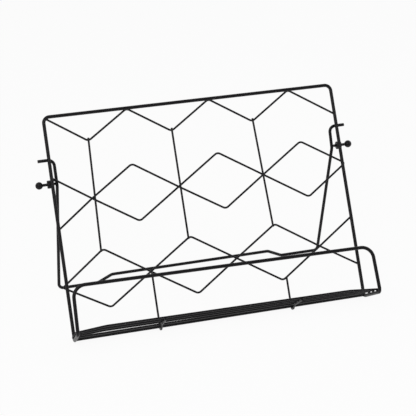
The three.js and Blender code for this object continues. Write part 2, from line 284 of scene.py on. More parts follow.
class CoatLook(PropertyGroup):
    """Colours and surface of the powder coat"""

    tone: colour("Tone", "#0b090c", "Main colour of the coat")
    dust: colour("Dusty tone", "#100e12", "Colour where the coat is a little chalky")
    worn: colour("Worn tone", "#262327", "Colour of the specks where the coat is rubbed")
    roughness: share("Roughness", 0.34, "Roughness where the coat is smoothest")
    rough_spread: share("Roughness spread", 0.14, "How much rougher the coat gets")
    peel: length("Peel", 1.3, "Width of the coat's shallow dimples")
    grit: length("Grit", 0.45, "Width of the coat's fine grain, drawn coarser to show")
    patch: length("Patch", 22, "Width of the patches in which the tone changes")


class StudioLook(PropertyGroup):
    """Colours and lamps of the stage"""

    floor: colour("Floor", "#f6f6f6", "Colour of the floor")
    light: colour("Light", "#ffffff", "Colour of the surroundings")
    surround: share("Surround", 0.36, "Strength of the surroundings' light")
    front: share("Front", 0.12, "Strength of the room in front, as the coat's gloss shows it")
    plain: share("Plain floor", 0.92, "How much of the floor is seen plain white")
    key: power("Key lamp", 11, "Power of the large lamp above the front left")
    fill: power("Fill lamp", 5, "Power of the lamp at the right")


class BookstandSettings(PropertyGroup):
    """All settings of the bookstand"""

    wires: PointerProperty(type=WireSizes)
    stand: PointerProperty(type=StandSizes)
    hinge: PointerProperty(type=HingeSizes)
    coat: PointerProperty(type=CoatLook)
    studio: PointerProperty(type=StudioLook)


# ---- Centrelines ----

# A wire by its diameter and its corners, each a place with the radius of its bend.
Wire = namedtuple("Wire", "diameter corners closed", defaults=(False,))


def corner(x, back, up, bend=0):
    """A wire's corner, or its end, which has no bend."""
    return Vector((x, back, up)), bend


def bend_places(before, at, bend, after):
    """Places along a bend: an arc tangent to the run before the corner and to the run after."""
    incoming = (at - before).normalized()
    outgoing = (after - at).normalized()
    turn = incoming.angle(outgoing)
    if turn < STRAIGHT_TURN:
        return []
    room = min((at - before).length, (after - at).length) / 2
    setback = min(bend * math.tan(turn / 2), room)
    radius = setback / math.tan(turn / 2)
    axis = incoming.cross(outgoing).normalized()
    start = at - incoming * setback
    centre = start + axis.cross(incoming) * radius
    steps = max(2, math.ceil(turn / BEND_STEP))
    swings = [turn * step / steps for step in range(steps + 1)]
    return [Matrix.Rotation(swing, 3, axis) @ (start - centre) + centre for swing in swings]


def centreline(wire):
    """Places along a wire's centre, dense in its bends and none between them."""
    places = [at for at, _ in wire.corners]
    count = len(places)
    line = []
    for index, (at, bend) in enumerate(wire.corners):
        at_end = index in (0, count - 1) and not wire.closed
        if at_end:
            line.append(at)
        else:
            line += bend_places(places[index - 1], at, bend, places[(index + 1) % count])
    return line


def sampled(line, closed, step):
    """The centreline as an array with a place at least every step."""
    ends = line[1:] + line[:1] if closed else line[1:]
    runs = []
    for start, end in zip(line, ends):
        count = max(1, math.ceil((end - start).length / step))
        shares = np.arange(count)[:, None] / count
        runs.append(np.array(start) + shares * np.array(end - start))
    if not closed:
        runs.append(np.array([line[-1]]))
    return np.concatenate(runs)


class Layout:
    """Where the wires lie, worked out from the settings."""

    def __init__(self, settings):
        self.wires, self.stand, self.hinge = settings.wires, settings.stand, settings.hinge
        self.side_x = self.stand.width / 2
        self.frame_radius = self.wires.frame / 2
        self.infill_radius = self.wires.infill / 2
        self.side_outer_x = self.side_x + self.frame_radius
        self.back_layer = self.frame_radius + WELD_GAP + self.infill_radius
        self.front_layer = self.back_layer - self.wires.infill - WELD_GAP
        self.hump_layer = self.back_layer + self.wires.infill + WELD_GAP
        slope = self.stand.shelf_angle
        self.shelf_out = Vector((0, -math.sin(slope), math.cos(slope)))
        self.shelf_rise = Vector((0, math.cos(slope), math.sin(slope)))
        shelf_radius = self.wires.shelf / 2
        self.shelf_wire_up = self.frame_radius + WELD_GAP + shelf_radius
        self.stay_up = self.shelf_wire_up - shelf_radius - WELD_GAP - self.infill_radius
        self.stay_dip_up = REAR_WIRE_UP - self.wires.rear / 2 - WELD_GAP - self.infill_radius
        self.front_out = self.stand.shelf_depth - FRONT_SHELF_WIRE_INSET
        self.pivot_back = self.frame_radius + WELD_GAP + self.hinge.ear / 2
        self.leg_x = self.side_x - LEG_INSET
        self.valley_up = self.stand.panel_height - ZIGZAG_DEPTH
        lean = Matrix.Rotation(-self.stand.panel_lean, 4, "X")
        self.panel_place = Matrix.Translation(HEEL_CORNER) @ lean
        pivot = Vector((HINGE_SHIFT, self.pivot_back, self.hinge.pivot_up))
        tilt = Matrix.Rotation(-HINGE_TILT, 4, "Y")
        swing = Matrix.Rotation(self.hinge.leg_open, 4, "X")
        self.leg_place = self.panel_place @ Matrix.Translation(pivot) @ tilt @ swing

    def on_shelf(self, x, out, up):
        """A place out along the shelf from the heel, and up from it."""
        return Vector((x, 0, 0)) + self.shelf_out * out + self.shelf_rise * up

    def twist_up(self, side, out):
        """How far the side wire on one side rises above the untwisted shelf."""
        return -side * SHELF_TWIST * out / self.stand.shelf_depth

    def lift_up(self, out):
        """How far the stays lift the shelf between the sides."""
        return SHELF_LIFT * out / self.front_out

    # -- Main frame and shelf --

    def frame_side(self, side):
        """One side of the loop, from the top bar round the heel to the front rail."""
        x = side * self.side_x
        depth = self.stand.shelf_depth
        front = self.on_shelf(x, depth, self.twist_up(side, depth))
        rail = front + Vector((-side * POST_SPLAY, 0, self.stand.rail_height))
        return [
            corner(x, 0, self.stand.panel_height, TOP_BEND),
            corner(x, 0, 0, HEEL_BEND),
            (front, FRONT_BEND),
            (rail, RAIL_BEND),
        ]

    def main_frame(self):
        """The closed loop of the panel, the shelf's sides, the posts and the front rail."""
        corners = self.frame_side(-1) + self.frame_side(1)[::-1]
        return {"frame_wire": Wire(self.wires.frame, corners, True)}

    def cross_wire(self, out):
        """A wire lying across the side wires, held up between them."""
        lifted_x = self.side_x - SHELF_LIFT_RUN

        def half(side):
            twist = self.twist_up(side, out)
            end = self.shelf_wire_up + twist
            middle = self.shelf_wire_up + self.lift_up(out) + twist * lifted_x / self.side_x
            return [
                (self.on_shelf(side * self.side_outer_x, out, end), 0),
                (self.on_shelf(side * lifted_x, out, middle), SHELF_LIFT_BEND),
            ]

        return Wire(self.wires.shelf, half(-1) + half(1)[::-1])

    def shelf(self):
        """The rear wire between the side wires, and the wires across them."""
        end = self.side_x - self.frame_radius - WELD_GAP
        rear = [(self.on_shelf(x, REAR_WIRE_OUT, REAR_WIRE_UP), 0) for x in (-end, end)]
        wires = {"shelf_wire_rear": Wire(self.wires.rear, rear)}
        pitch = (self.front_out - FIRST_SHELF_WIRE_OUT) / (self.stand.shelf_wires - 1)
        for row in range(self.stand.shelf_wires):
            out = FIRST_SHELF_WIRE_OUT + row * pitch
            wires[f"shelf_wire_{row + 1}"] = self.cross_wire(out)
        return wires

    def stay(self, x, top_up):
        """A stay under the shelf wires and the rear wire, round the heel and up the panel."""
        slope = self.stand.shelf_angle
        heel_out = (self.stay_dip_up * math.cos(slope) - self.front_layer) / math.sin(slope)
        dip_end = REAR_WIRE_OUT + STAY_DIP_REACH

        def run(out):
            up = self.stay_up + self.lift_up(out) + self.twist_up(x / self.side_x, out)
            return self.on_shelf(x, out, up)

        corners = [
            (run(self.front_out + STAY_FRONT_LAP), 0),
            (run(dip_end + STAY_DIP_RUN), STAY_BEND),
            (self.on_shelf(x, dip_end, self.stay_dip_up), STAY_BEND),
            (self.on_shelf(x, heel_out, self.stay_dip_up), STAY_BEND),
            corner(x, self.front_layer, top_up + STAY_TOP_LAP),
        ]
        return Wire(self.wires.infill, corners)

    def stays(self):
        """The left stay ends at a crossing of the lower diamonds, the right at a low point."""
        crossing = self.diamond_up(LOWER_ROW, STAY_COLUMN["left"])
        low_point = self.diamond_up(LOWER_ROW, STAY_COLUMN["right"]) - DIAMOND_HALF_HEIGHT
        return {
            "shelf_stay_left": self.stay(STAY_X["left"], crossing),
            "shelf_stay_right": self.stay(STAY_X["right"], low_point),
        }

    # -- Infill of the panel --

    def zigzag_x(self, turn):
        """Where a turn of the zigzag lies."""
        return ZIGZAG_FIRST_VALLEY_X + turn * ZIGZAG_PITCH

    def zigzag(self):
        """The zigzag under the top bar."""
        back, top = self.back_layer, self.stand.panel_height
        corners = [corner(ZIGZAG_START_X, back, top - ZIGZAG_START_DROP)]
        turns = ZIGZAG_STRANDS - 1
        for turn in range(turns):
            up = self.valley_up if turn % 2 == 0 else top
            corners.append(corner(self.zigzag_x(turn), back, up, ZIGZAG_BEND))
        last_run = self.side_outer_x - self.zigzag_x(turns - 1)
        end_up = top - last_run * ZIGZAG_DEPTH / ZIGZAG_PITCH
        corners.append(corner(self.side_outer_x, back, end_up))
        return {"top_zigzag": Wire(self.wires.infill, corners)}

    def diamond_x(self, row, column):
        """Where a column lies. Column 0 is the vertex."""
        return row.side * (self.side_x + VERTEX_OVERHANG - column * DIAMOND_PITCH)

    def diamond_up(self, row, column):
        """The height of a column's middle."""
        climb = (row.last_up - row.first_up) / (DIAMOND_COLUMNS - 1)
        return row.first_up + climb * (column - 1)

    def diamond_strand(self, row, start_side, crossing_layer):
        """One strand, from the vertex's neighbour to its open end."""
        corners, side = [], start_side
        for column in range(1, DIAMOND_COLUMNS + 1):
            x, middle = self.diamond_x(row, column), self.diamond_up(row, column)
            if column % 2:
                tip_up = middle + side * DIAMOND_HALF_HEIGHT
                corners.append(corner(x, self.back_layer, tip_up, ZIGZAG_BEND))
                side = -side
            else:
                corners.append(corner(x, crossing_layer, middle, HUMP_BEND))
        end_up = row.upper_end if side > 0 else row.lower_end
        corners.append(corner(-row.side * self.side_x, self.back_layer, end_up))
        return corners

    def diamond_wire(self, row):
        """Both strands as one wire, folded at the vertex."""
        flat = self.diamond_strand(row, -1, self.back_layer)
        hump = self.diamond_strand(row, 1, self.hump_layer)
        vertex = corner(self.diamond_x(row, 0), self.back_layer, row.vertex_up, VERTEX_BEND)
        return Wire(self.wires.infill, flat[::-1] + [vertex] + hump)

    def diamonds(self):
        """The two rows of diamonds."""
        rows = {"upper_diamonds": UPPER_ROW, "lower_diamonds": LOWER_ROW}
        return {name: self.diamond_wire(row) for name, row in rows.items()}

    def heel_wire(self):
        """The straight wire across the back of the side wires, low at the heel."""
        outer = self.side_outer_x
        ends = [corner(x, self.back_layer, HEEL_WIRE_UP) for x in (-outer, outer)]
        return {"panel_heel_wire": Wire(self.wires.infill, ends)}

    def uprights(self):
        """Uprights from the zigzag's valleys down to the lower diamonds' peaks."""
        wires = {}
        for index, name in enumerate(("left", "middle", "right")):
            column = 2 * index + 1
            foot_x = self.diamond_x(LOWER_ROW, column) + UPRIGHT_FOOT_SHIFT
            peak_up = self.diamond_up(LOWER_ROW, column) + DIAMOND_HALF_HEIGHT
            top_x, top_up = self.zigzag_x(2 * index), self.valley_up + UPRIGHT_LAP
            top = corner(top_x, self.front_layer, top_up)
            foot = corner(foot_x, self.front_layer, peak_up - UPRIGHT_LAP)
            wires[f"upright_{name}"] = Wire(self.wires.infill, [top, foot])
        return wires

    # -- Hinge and leg --

    def ear_at(self, side):
        """The centre of an ear."""
        along = side * (self.side_x + EAR_OFFSET)
        up = self.hinge.pivot_up + along * math.tan(HINGE_TILT)
        return Vector((HINGE_SHIFT + along, self.pivot_back, up))

    def pin_span(self):
        """How far out a pin starts, at the leg's arm, and ends, inside its ball."""
        inner = self.leg_x + self.wires.leg / 2 + WELD_GAP
        return inner, self.side_x + BALL_OFFSET - PIN_CLEARANCE

    def height_of(self, back, up):
        """Height above the heel's corner, once the panel leans back."""
        lean = self.stand.panel_lean
        return up * math.cos(lean) - back * math.sin(lean)

    def heel_bottom(self, layer, up, bend, radius):
        """Lowest height of a wire that turns at the heel."""
        slope = self.stand.shelf_angle
        centre_back = layer - bend
        centre_up = (up + bend - centre_back * math.cos(slope)) / math.sin(slope)
        return self.height_of(centre_back, centre_up) - bend - radius

    def rear_leg(self):
        """The leg in a frame of its own: its pivot axis is X and its arms hang along -Z."""
        lean, opened = self.stand.panel_lean, self.hinge.leg_open
        radius = self.wires.leg / 2
        table = min(
            self.heel_bottom(self.front_layer, self.stay_dip_up, STAY_BEND, self.infill_radius),
            self.heel_bottom(0, 0, HEEL_BEND, self.frame_radius),
        )
        drop = self.height_of(self.pivot_back, self.hinge.pivot_up) - table - radius
        stub_back = self.frame_radius + WELD_GAP + radius - self.pivot_back
        unswing = Matrix.Rotation(-opened, 3, "X")

        def foot(x, rise=0.0):
            fall = (drop + x * math.sin(HINGE_TILT) * math.cos(lean)) / math.cos(lean - opened)
            return Vector((x, 0, rise - fall))

        def leg_side(side):
            stub_up = STUB_UP[side]
            foot_x = side * (self.leg_x - FOOT_TAPER) + FOOT_SHIFT
            foot_end_x = foot_x - side * FOOT_LENGTH
            stub_end_x = side * (self.side_x + STUB_OVERHANG)
            return [
                (unswing @ Vector((stub_end_x, stub_back, stub_up)), 0),
                (unswing @ Vector((side * self.leg_x, stub_back, stub_up)), STUB_BEND),
                corner(side * self.leg_x, 0, -KINK_DROP, KINK_BEND),
                (foot(foot_x), FOOT_BEND),
                (foot(foot_end_x), ARCH_BEND),
                (foot(foot_end_x - side * ARCH_RUN, ARCH_RISE), ARCH_BEND),
            ]

        return {"rear_leg": Wire(self.wires.leg, leg_side(-1) + leg_side(1)[::-1])}


def moved(wire, place):
    """The same wire with its corners set in the row frame."""
    return wire._replace(corners=[(place @ at, bend) for at, bend in wire.corners])


# ---- Nodes ----


def add_node(tree, kind, inputs=(), **settings):
    """Adds a node with its settings. An input is given a value, another node's output, or another
    node for its first output."""
    node = tree.nodes.new(kind)
    for key, value in settings.items():
        setattr(node, key, value)
    for key, value in dict(inputs).items():
        if isinstance(value, bpy.types.Node):
            value = value.outputs[0]
        if isinstance(value, bpy.types.NodeSocket):
            tree.links.new(value, node.inputs[key])
        else:
            node.inputs[key].default_value = value
    return node


def computed(tree, operation, first, second):
    """A Math node of two values or outputs."""
    return add_node(tree, "ShaderNodeMath", {0: first, 1: second}, operation=operation)


def attribute(tree, name, data_type):
    """A Named Attribute node."""
    kind, inputs = "GeometryNodeInputNamedAttribute", {"Name": name}
    return add_node(tree, kind, inputs, data_type=data_type)


def geometry_tree(name, sockets):
    """A Geometry Nodes tree, what its named inputs give, and its end."""
    tree = bpy.data.node_groups.new(name, "GeometryNodeTree")
    tree.interface.new_socket("Geometry", in_out="INPUT", socket_type="NodeSocketGeometry")
    for label, kind in sockets.items():
        tree.interface.new_socket(label, in_out="INPUT", socket_type=f"NodeSocket{kind}")
    tree.interface.new_socket("Geometry", in_out="OUTPUT", socket_type="NodeSocketGeometry")
    given, end = add_node(tree, "NodeGroupInput"), add_node(tree, "NodeGroupOutput")
    return tree, given.outputs, end


def finish_tree(tree, given, end, geometry):
    """Ends a tree in smooth shading, Realize Instances and Set Material."""
    smooth = add_node(tree, "GeometryNodeSetShadeSmooth", {"Geometry": geometry})
    real = add_node(tree, "GeometryNodeRealizeInstances", {"Geometry": smooth})
    inputs = {"Geometry": real, "Material": given["Material"]}
    painted = add_node(tree, "GeometryNodeSetMaterial", inputs)
    tree.links.new(painted.outputs[0], end.inputs["Geometry"])
    return tree


def coated_wire_tree():
    """A round wire swept along a line of places, each with its taper."""
    sockets = {"Diameter": "Float", "Sides": "Int", "Material": "Material"}
    tree, given, end = geometry_tree("coated_wire", sockets)
    path = add_node(tree, "GeometryNodeMeshToCurve", {"Mesh": given["Geometry"]})
    radius = computed(tree, "MULTIPLY", given["Diameter"], 0.5)
    inputs = {"Resolution": given["Sides"], "Radius": radius}
    section = add_node(tree, "GeometryNodeCurvePrimitiveCircle", inputs, mode="RADIUS")
    inputs = {
        "Curve": path,
        "Profile Curve": section,
        "Scale": attribute(tree, "taper", "FLOAT"),
        "Fill Caps": True,
    }
    swept = add_node(tree, "GeometryNodeCurveToMesh", inputs)
    return finish_tree(tree, given, end, swept)


def weld_bead_tree():
    """A slightly lumpy bead at each weld, flattened between the two wires."""
    sockets = {"Lump": "Float", "Lump Width": "Float", "Seed": "Int", "Material": "Material"}
    tree, given, end = geometry_tree("weld_beads", sockets)
    inputs = {"Radius": 1.0, "Subdivisions": BEAD_SUBDIVISIONS}
    ball = add_node(tree, "GeometryNodeMeshIcoSphere", inputs)
    names = ("through", "along", "spread")
    through, along, spread = (attribute(tree, name, "FLOAT_VECTOR") for name in names)
    turn = add_node(
        tree,
        "FunctionNodeAxesToRotation",
        {"Primary Axis": through, "Secondary Axis": along},
        primary_axis="Z",
        secondary_axis="X",
    )
    inputs = {"Points": given["Geometry"], "Instance": ball, "Rotation": turn, "Scale": spread}
    beads = add_node(tree, "GeometryNodeInstanceOnPoints", inputs)
    real = add_node(tree, "GeometryNodeRealizeInstances", {"Geometry": beads})
    lump_scale = computed(tree, "DIVIDE", 1.0, given["Lump Width"])
    inputs = {"W": given["Seed"], "Scale": lump_scale, "Detail": 1.0}
    lumps = add_node(tree, "ShaderNodeTexNoise", inputs, noise_dimensions="4D")
    rise = computed(tree, "MULTIPLY", lumps, given["Lump"])
    inputs = {0: add_node(tree, "GeometryNodeInputNormal"), "Scale": rise}
    offset = add_node(tree, "ShaderNodeVectorMath", inputs, operation="SCALE")
    inputs = {"Geometry": real, "Offset": offset}
    lumpy = add_node(tree, "GeometryNodeSetPosition", inputs)
    return finish_tree(tree, given, end, lumpy)


def named_once(collection, name, make):
    """The data block with this name, made the first time that it is asked for."""
    found = collection.get(name)
    return found if found else make()


def realised(obj, tree, values):
    """Runs a tree on an object, keeps the result as its plain mesh and takes the modifier off."""
    modifier = obj.modifiers.new(tree.name, "NODES")
    modifier.node_group = tree
    for item in tree.interface.items_tree:
        if item.in_out == "INPUT" and item.name in values:
            modifier[item.identifier] = values[item.name]
    depsgraph = bpy.context.evaluated_depsgraph_get()
    mesh = bpy.data.meshes.new_from_object(obj.evaluated_get(depsgraph))
    obj.modifiers.remove(modifier)
    obj.data = mesh
    mesh.name = obj.name
    return tidied(mesh)


def tidied(mesh):
    """Faces outwards, smooth, with the sawn ends' rims left crisp."""
    work = bmesh.new()
    work.from_mesh(mesh)
    bmesh.ops.recalc_face_normals(work, faces=work.faces[:])
    for face in work.faces:
        face.smooth = True
    work.to_mesh(mesh)
    work.free()
    mesh.set_sharp_from_angle(angle=SHARP_ANGLE)
    return mesh


# ---- Materials ----


def linear(hexadecimal):
    """An sRGB hex value as a linear colour."""
    levels = [int(hexadecimal[at : at + 2], 16) / 255 for at in (1, 3, 5)]
    curved = [v / 12.92 if v <= 0.04045 else ((v + 0.055) / 1.055) ** 2.4 for v in levels]
    return (*curved, 1.0)


def new_material(name):
    """A material with an empty node tree."""
    material = bpy.data.materials.new(name)
    material.use_nodes = True
    material.node_tree.nodes.clear()
    return material, material.node_tree


def powder_coat(look):
    """Satin black polyester powder coat, sprayed on blasted steel and baked: even and soft in
    gloss, with shallow dimples like a fine orange peel, a faint grain and a few rubbed specks."""
    material, tree = new_material(COAT_NAME)
    place = add_node(tree, "ShaderNodeTexCoord").outputs["Object"]

    def noise(width, detail=2.0):
        inputs = {"Vector": place, "Scale": 1 / width, "Detail": detail}
        return add_node(tree, "ShaderNodeTexNoise", inputs).outputs["Fac"]

    def ranged(value, levels, to_low, to_high):
        inputs = {0: value, 1: levels[0], 2: levels[1], 3: to_low, 4: to_high}
        return add_node(tree, "ShaderNodeMapRange", inputs)

    def mixed(factor, first, second):
        inputs = {0: factor, 6: first, 7: second}
        return add_node(tree, "ShaderNodeMix", inputs, data_type="RGBA").outputs[2]

    patches = ranged(noise(look.patch, PATCH_DETAIL), PATCH_LEVELS, 0.0, 1.0)
    toned = mixed(patches, linear(look.tone), linear(look.dust))
    specks = ranged(noise(look.peel * SPECK_WIDTH, SPECK_DETAIL), SPECK_LEVELS, 0.0, 1.0)
    worn = mixed(specks, toned, linear(look.worn))
    grain = noise(look.grit)
    rough = ranged(grain, GRAIN_LEVELS, look.roughness, look.roughness + look.rough_spread)
    inputs = {"Height": noise(look.peel), "Strength": PEEL_STRENGTH, "Distance": PEEL_DEPTH}
    peel = add_node(tree, "ShaderNodeBump", inputs)
    inputs = {"Height": grain, "Strength": GRAIN_STRENGTH, "Distance": GRAIN_DEPTH}
    grained = add_node(tree, "ShaderNodeBump", {**inputs, "Normal": peel})
    inputs = {
        "Base Color": worn,
        "Roughness": rough,
        "Normal": grained,
        "IOR": COAT_IOR,
        "Specular IOR Level": COAT_SPECULAR,
    }
    shader = add_node(tree, "ShaderNodeBsdfPrincipled", inputs)
    add_node(tree, "ShaderNodeOutputMaterial", {"Surface": shader})
    return material


def coat():
    """The powder coat that every piece of the stand has."""
    look = bpy.context.scene.bookstand.coat
    return named_once(bpy.data.materials, COAT_NAME, lambda: powder_coat(look))


def seen_rays(tree):
    """1 for the rays that see the background: from the camera, in gloss and through glass."""
    rays = add_node(tree, "ShaderNodeLightPath").outputs
    names = ("Is Camera Ray", "Is Glossy Ray", "Is Transmission Ray")
    camera, glossy, through = (rays[name] for name in names)
    either = computed(tree, "MAXIMUM", camera, glossy)
    return computed(tree, "MAXIMUM", either, through)


def room_strength(tree, look):
    """White where the background is seen. In gloss, the room gets darker towards its front."""
    way = add_node(tree, "ShaderNodeTexCoord").outputs["Generated"]
    parts = add_node(tree, "ShaderNodeSeparateXYZ", {0: way}).outputs
    inputs = {0: parts["Y"], 1: ROOM_FRONT, 2: ROOM_BACK, 3: look.front, 4: 1.0}
    depth = add_node(tree, "ShaderNodeMapRange", inputs, interpolation_type="SMOOTHSTEP")
    rays = add_node(tree, "ShaderNodeLightPath").outputs
    inputs = {0: rays["Is Glossy Ray"], 2: 1.0, 3: depth}
    seen = add_node(tree, "ShaderNodeMix", inputs, data_type="FLOAT")
    inputs = {0: seen_rays(tree), 2: look.surround, 3: seen}
    return add_node(tree, "ShaderNodeMix", inputs, data_type="FLOAT")


def studio_floor(look):
    """Matt white paper. It keeps the object's shadow, and is seen nearly plain white."""
    material, tree = new_material("matt_white_paper")
    inputs = {"Color": linear(look.floor), "Roughness": PAPER_ROUGHNESS}
    paper = add_node(tree, "ShaderNodeBsdfDiffuse", inputs)
    plain = add_node(tree, "ShaderNodeEmission", {"Color": linear(look.light), "Strength": 1.0})
    amount = computed(tree, "MULTIPLY", seen_rays(tree), look.plain)
    inputs = {0: amount, 1: paper, 2: plain}
    mix = add_node(tree, "ShaderNodeMixShader", inputs)
    add_node(tree, "ShaderNodeOutputMaterial", {"Surface": mix})
    return material


# ---- Pieces ----


def new_object(name, mesh):
    """An object for a mesh, at the origin."""
    obj = bpy.data.objects.new(name, mesh)
    bpy.context.scene.collection.objects.link(obj)
    return obj


def fitted(obj, node, body):
    """Makes a piece ride on its body, in place of its CAD node."""
    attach(obj, body)
    if node:
        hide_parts(node)
    return obj


def rounded_ends(line, radius):
    """The line of an open wire with rings added for the rounded rims of its sawn ends."""
    rounding = END_ROUNDING * radius
    swings = [math.pi / 2 * ring / END_RINGS for ring in range(END_RINGS + 1)]
    setbacks = [rounding * (1 - math.cos(swing)) for swing in swings]
    tapers = [1 - END_ROUNDING * (1 - math.sin(swing)) for swing in swings]
    first = (line[1] - line[0]).normalized()
    last = (line[-2] - line[-1]).normalized()
    head = [line[0] + first * back for back in setbacks]
    tail = [line[-1] + last * back for back in reversed(setbacks)]
    middle = line[1:-1]
    return head + middle + tail, tapers + [1.0] * len(middle) + tapers[::-1]


def coated_wire(name, wire, body):
    """One wire, swept along its centreline."""
    line = centreline(wire)
    tapers = [1.0] * len(line)
    if not wire.closed:
        line, tapers = rounded_ends(line, wire.diameter / 2)
    edges = [(at, at + 1) for at in range(len(line) - 1)]
    if wire.closed:
        edges.append((len(line) - 1, 0))
    path = bpy.data.meshes.new(name)
    path.from_pydata(line, edges, [])
    path.attributes.new("taper", "FLOAT", "POINT").data.foreach_set("value", tapers)
    obj = new_object(f"coated_{name}", path)
    tree = named_once(bpy.data.node_groups, "coated_wire", coated_wire_tree)
    values = {
        "Diameter": wire.diameter,
        "Sides": THICK_SIDES if wire.diameter > THICK_FROM else THIN_SIDES,
        "Material": coat(),
    }
    realised(obj, tree, values)
    return fitted(obj, name, body)


def coated_wires(wires, place, body):
    """Several wires, set in the row frame."""
    for name, wire in wires.items():
        coated_wire(name, moved(wire, place), body)


def arc(centre, radius, start, end, steps):
    """Profile points [radius, along] on an arc, from one angle to another in degrees."""
    angles = np.radians(np.linspace(start, end, steps + 1))
    return [(centre[0] + radius * math.cos(a), centre[1] + radius * math.sin(a)) for a in angles]


def turned_piece(name, profile, at, body):
    """A turned piece: a closed profile of [radius, along] spun round its own Z axis."""
    mesh = bpy.data.meshes.new(f"coated_{name}")
    work = bmesh.new()
    rings = []
    for radius, along in profile:
        if radius < ON_AXIS:
            rings.append([work.verts.new((0, 0, along))] * TURNED_SIDES)
            continue
        turns = [2 * math.pi * side / TURNED_SIDES for side in range(TURNED_SIDES)]
        ring = [(radius * math.cos(turn), radius * math.sin(turn), along) for turn in turns]
        rings.append([work.verts.new(place) for place in ring])
    closed = profile[0][0] > ON_AXIS
    pairs = list(zip(rings, rings[1:] + rings[:1]))
    for lower, upper in pairs if closed else pairs[:-1]:
        for side in range(TURNED_SIDES):
            after = (side + 1) % TURNED_SIDES
            corners = [lower[side], lower[after], upper[after], upper[side]]
            work.faces.new(list(dict.fromkeys(corners)))
    work.to_mesh(mesh)
    work.free()
    mesh.transform(at)
    mesh.materials.append(coat())
    tidied(mesh)
    return fitted(new_object(mesh.name, mesh), name, body)


def outward(side):
    """Turns a turned piece's Z axis to X, away from the stand's middle."""
    return Matrix.Rotation(side * math.pi / 2, 4, "Y")


def ear_profile(hinge):
    """A collar with rounded rims and a plain hole."""
    bore = hinge.pin / 2 + PIN_CLEARANCE
    half, soft, fine = hinge.ear_thickness / 2, EAR_ROUNDING, EAR_BORE_ROUNDING
    rim = hinge.ear / 2 - soft
    return [
        *arc((bore + fine, fine - half), fine, 180, 270, BORE_STEPS),
        *arc((rim, soft - half), soft, 270, 360, RIM_STEPS),
        *arc((rim, half - soft), soft, 0, 90, RIM_STEPS),
        *arc((bore + fine, half - fine), fine, 90, 180, BORE_STEPS),
    ]


def ball_profile(hinge):
    """A ball with a blind bore for its pin and a small round lip at its mouth."""
    bore, radius = hinge.pin / 2 + PIN_CLEARANCE, hinge.ball / 2
    mouth = math.degrees(math.asin((bore + BALL_LIP) / radius))
    lip_at = -radius * math.cos(math.radians(mouth))
    return [
        (0, 0),
        (bore, 0),
        *arc((bore + BALL_LIP, lip_at + BALL_LIP / 2), BALL_LIP, 180, LIP_END, LIP_STEPS),
        *arc((0, 0), radius, mouth - 90, BALL_ARC_END, BALL_STEPS),
        (0, radius),
    ]


def pin_profile(hinge, inner, outer):
    """A plain pin with a rounded far end."""
    radius = hinge.pin / 2
    soft = radius * END_ROUNDING
    rounded = arc((radius - soft, outer - soft), soft, 0, 90, END_RINGS)
    return [(0, inner), (radius, inner), *rounded, (0, outer)]


# ---- Welds ----


def nearest(first, second):
    """The indices of the nearest two places of two arrays, and how far apart they are."""
    gaps = np.linalg.norm(first[:, None] - second[None], axis=2)
    at = np.unravel_index(gaps.argmin(), gaps.shape)
    return at, gaps[at]


def refined(first, second, at):
    """The nearest places of two sampled lines round a coarse pair, and each line's direction."""
    places, ways = [], []
    for line, index in zip((first, second), at):
        low, high = max(0, index - 1), min(len(line) - 1, index + 1)
        span = [Vector(place) for place in line[low : high + 1]]
        places.append(sampled(span, False, WELD_FINE_SAMPLE))
        ways.append((span[-1] - span[0]).normalized())
    (a, b), _ = nearest(*places)
    return Vector(places[0][a]), Vector(places[1][b]), ways


def weld_spots(first, second):
    """Welds between two wires: the middle of each, the way through it, along it and its size."""
    lines = [wire_line for wire_line, _ in (first, second)]
    radii = [radius for _, radius in (first, second)]
    reach = sum(radii) + WELD_REACH
    left, spots = lines[0], []
    low, high = lines[1].min(0) - reach, lines[1].max(0) + reach
    if not np.all((left >= low) & (left <= high), axis=1).any():
        return []
    while len(left) > 1:
        at, gap = nearest(left, lines[1])
        if gap > reach:
            break
        here, there, ways = refined(left, lines[1], at)
        through = (there - here).normalized()
        middle = here + through * (radii[0] + ((there - here).length - sum(radii)) / 2)
        along = ways[0] if radii[0] <= radii[1] else ways[1]
        spots.append((middle, through, along, min(radii)))
        left = left[np.linalg.norm(left - np.array(here), axis=1) > WELD_SPACING]
    return spots


def welded_lines(wires, place):
    """Each wire's sampled centreline with its radius. A folded wire is cut at its vertex."""
    lines = []
    away = int(VERTEX_REACH / WELD_SAMPLE)
    for name, wire in wires.items():
        line = sampled(centreline(moved(wire, place)), wire.closed, WELD_SAMPLE)
        cuts = [line]
        if name.endswith("diamonds"):
            tip = np.abs(line[:, 0]).argmax()
            cuts = [line[: tip - away], line[tip + away :], line[tip - away : tip + away]]
        lines += [(cut, wire.diameter / 2) for cut in cuts]
    return lines


def weld_beads(name, lines, body):
    """The beads at all the welds of a body, as one piece."""
    spots = []
    for index, first in enumerate(lines):
        for second in lines[index + 1 :]:
            spots += weld_spots(first, second)
    points = bpy.data.meshes.new(name)
    points.from_pydata([spot[0] for spot in spots], [], [])
    across, deep = WELD_SPREAD, WELD_THICKNESS
    columns = {
        "through": [spot[1] for spot in spots],
        "along": [spot[2] for spot in spots],
        "spread": [(size * across, size * across, size * deep) for *_, size in spots],
    }
    for key, vectors in columns.items():
        flat = [value for vector in vectors for value in vector]
        points.attributes.new(key, "FLOAT_VECTOR", "POINT").data.foreach_set("vector", flat)
    obj = new_object(name, points)
    tree = named_once(bpy.data.node_groups, "weld_beads", weld_bead_tree)
    values = {
        "Lump": WELD_LUMP,
        "Lump Width": WELD_LUMP_WIDTH,
        "Seed": WELD_SEED,
        "Material": coat(),
    }
    realised(obj, tree, values)
    return fitted(obj, None, body)


# ---- Operators ----

SIDES = {"left": -1, "right": 1}
STAND_GROUPS = ("main_frame", "shelf", "stays", "zigzag", "diamonds", "heel_wire", "uprights")


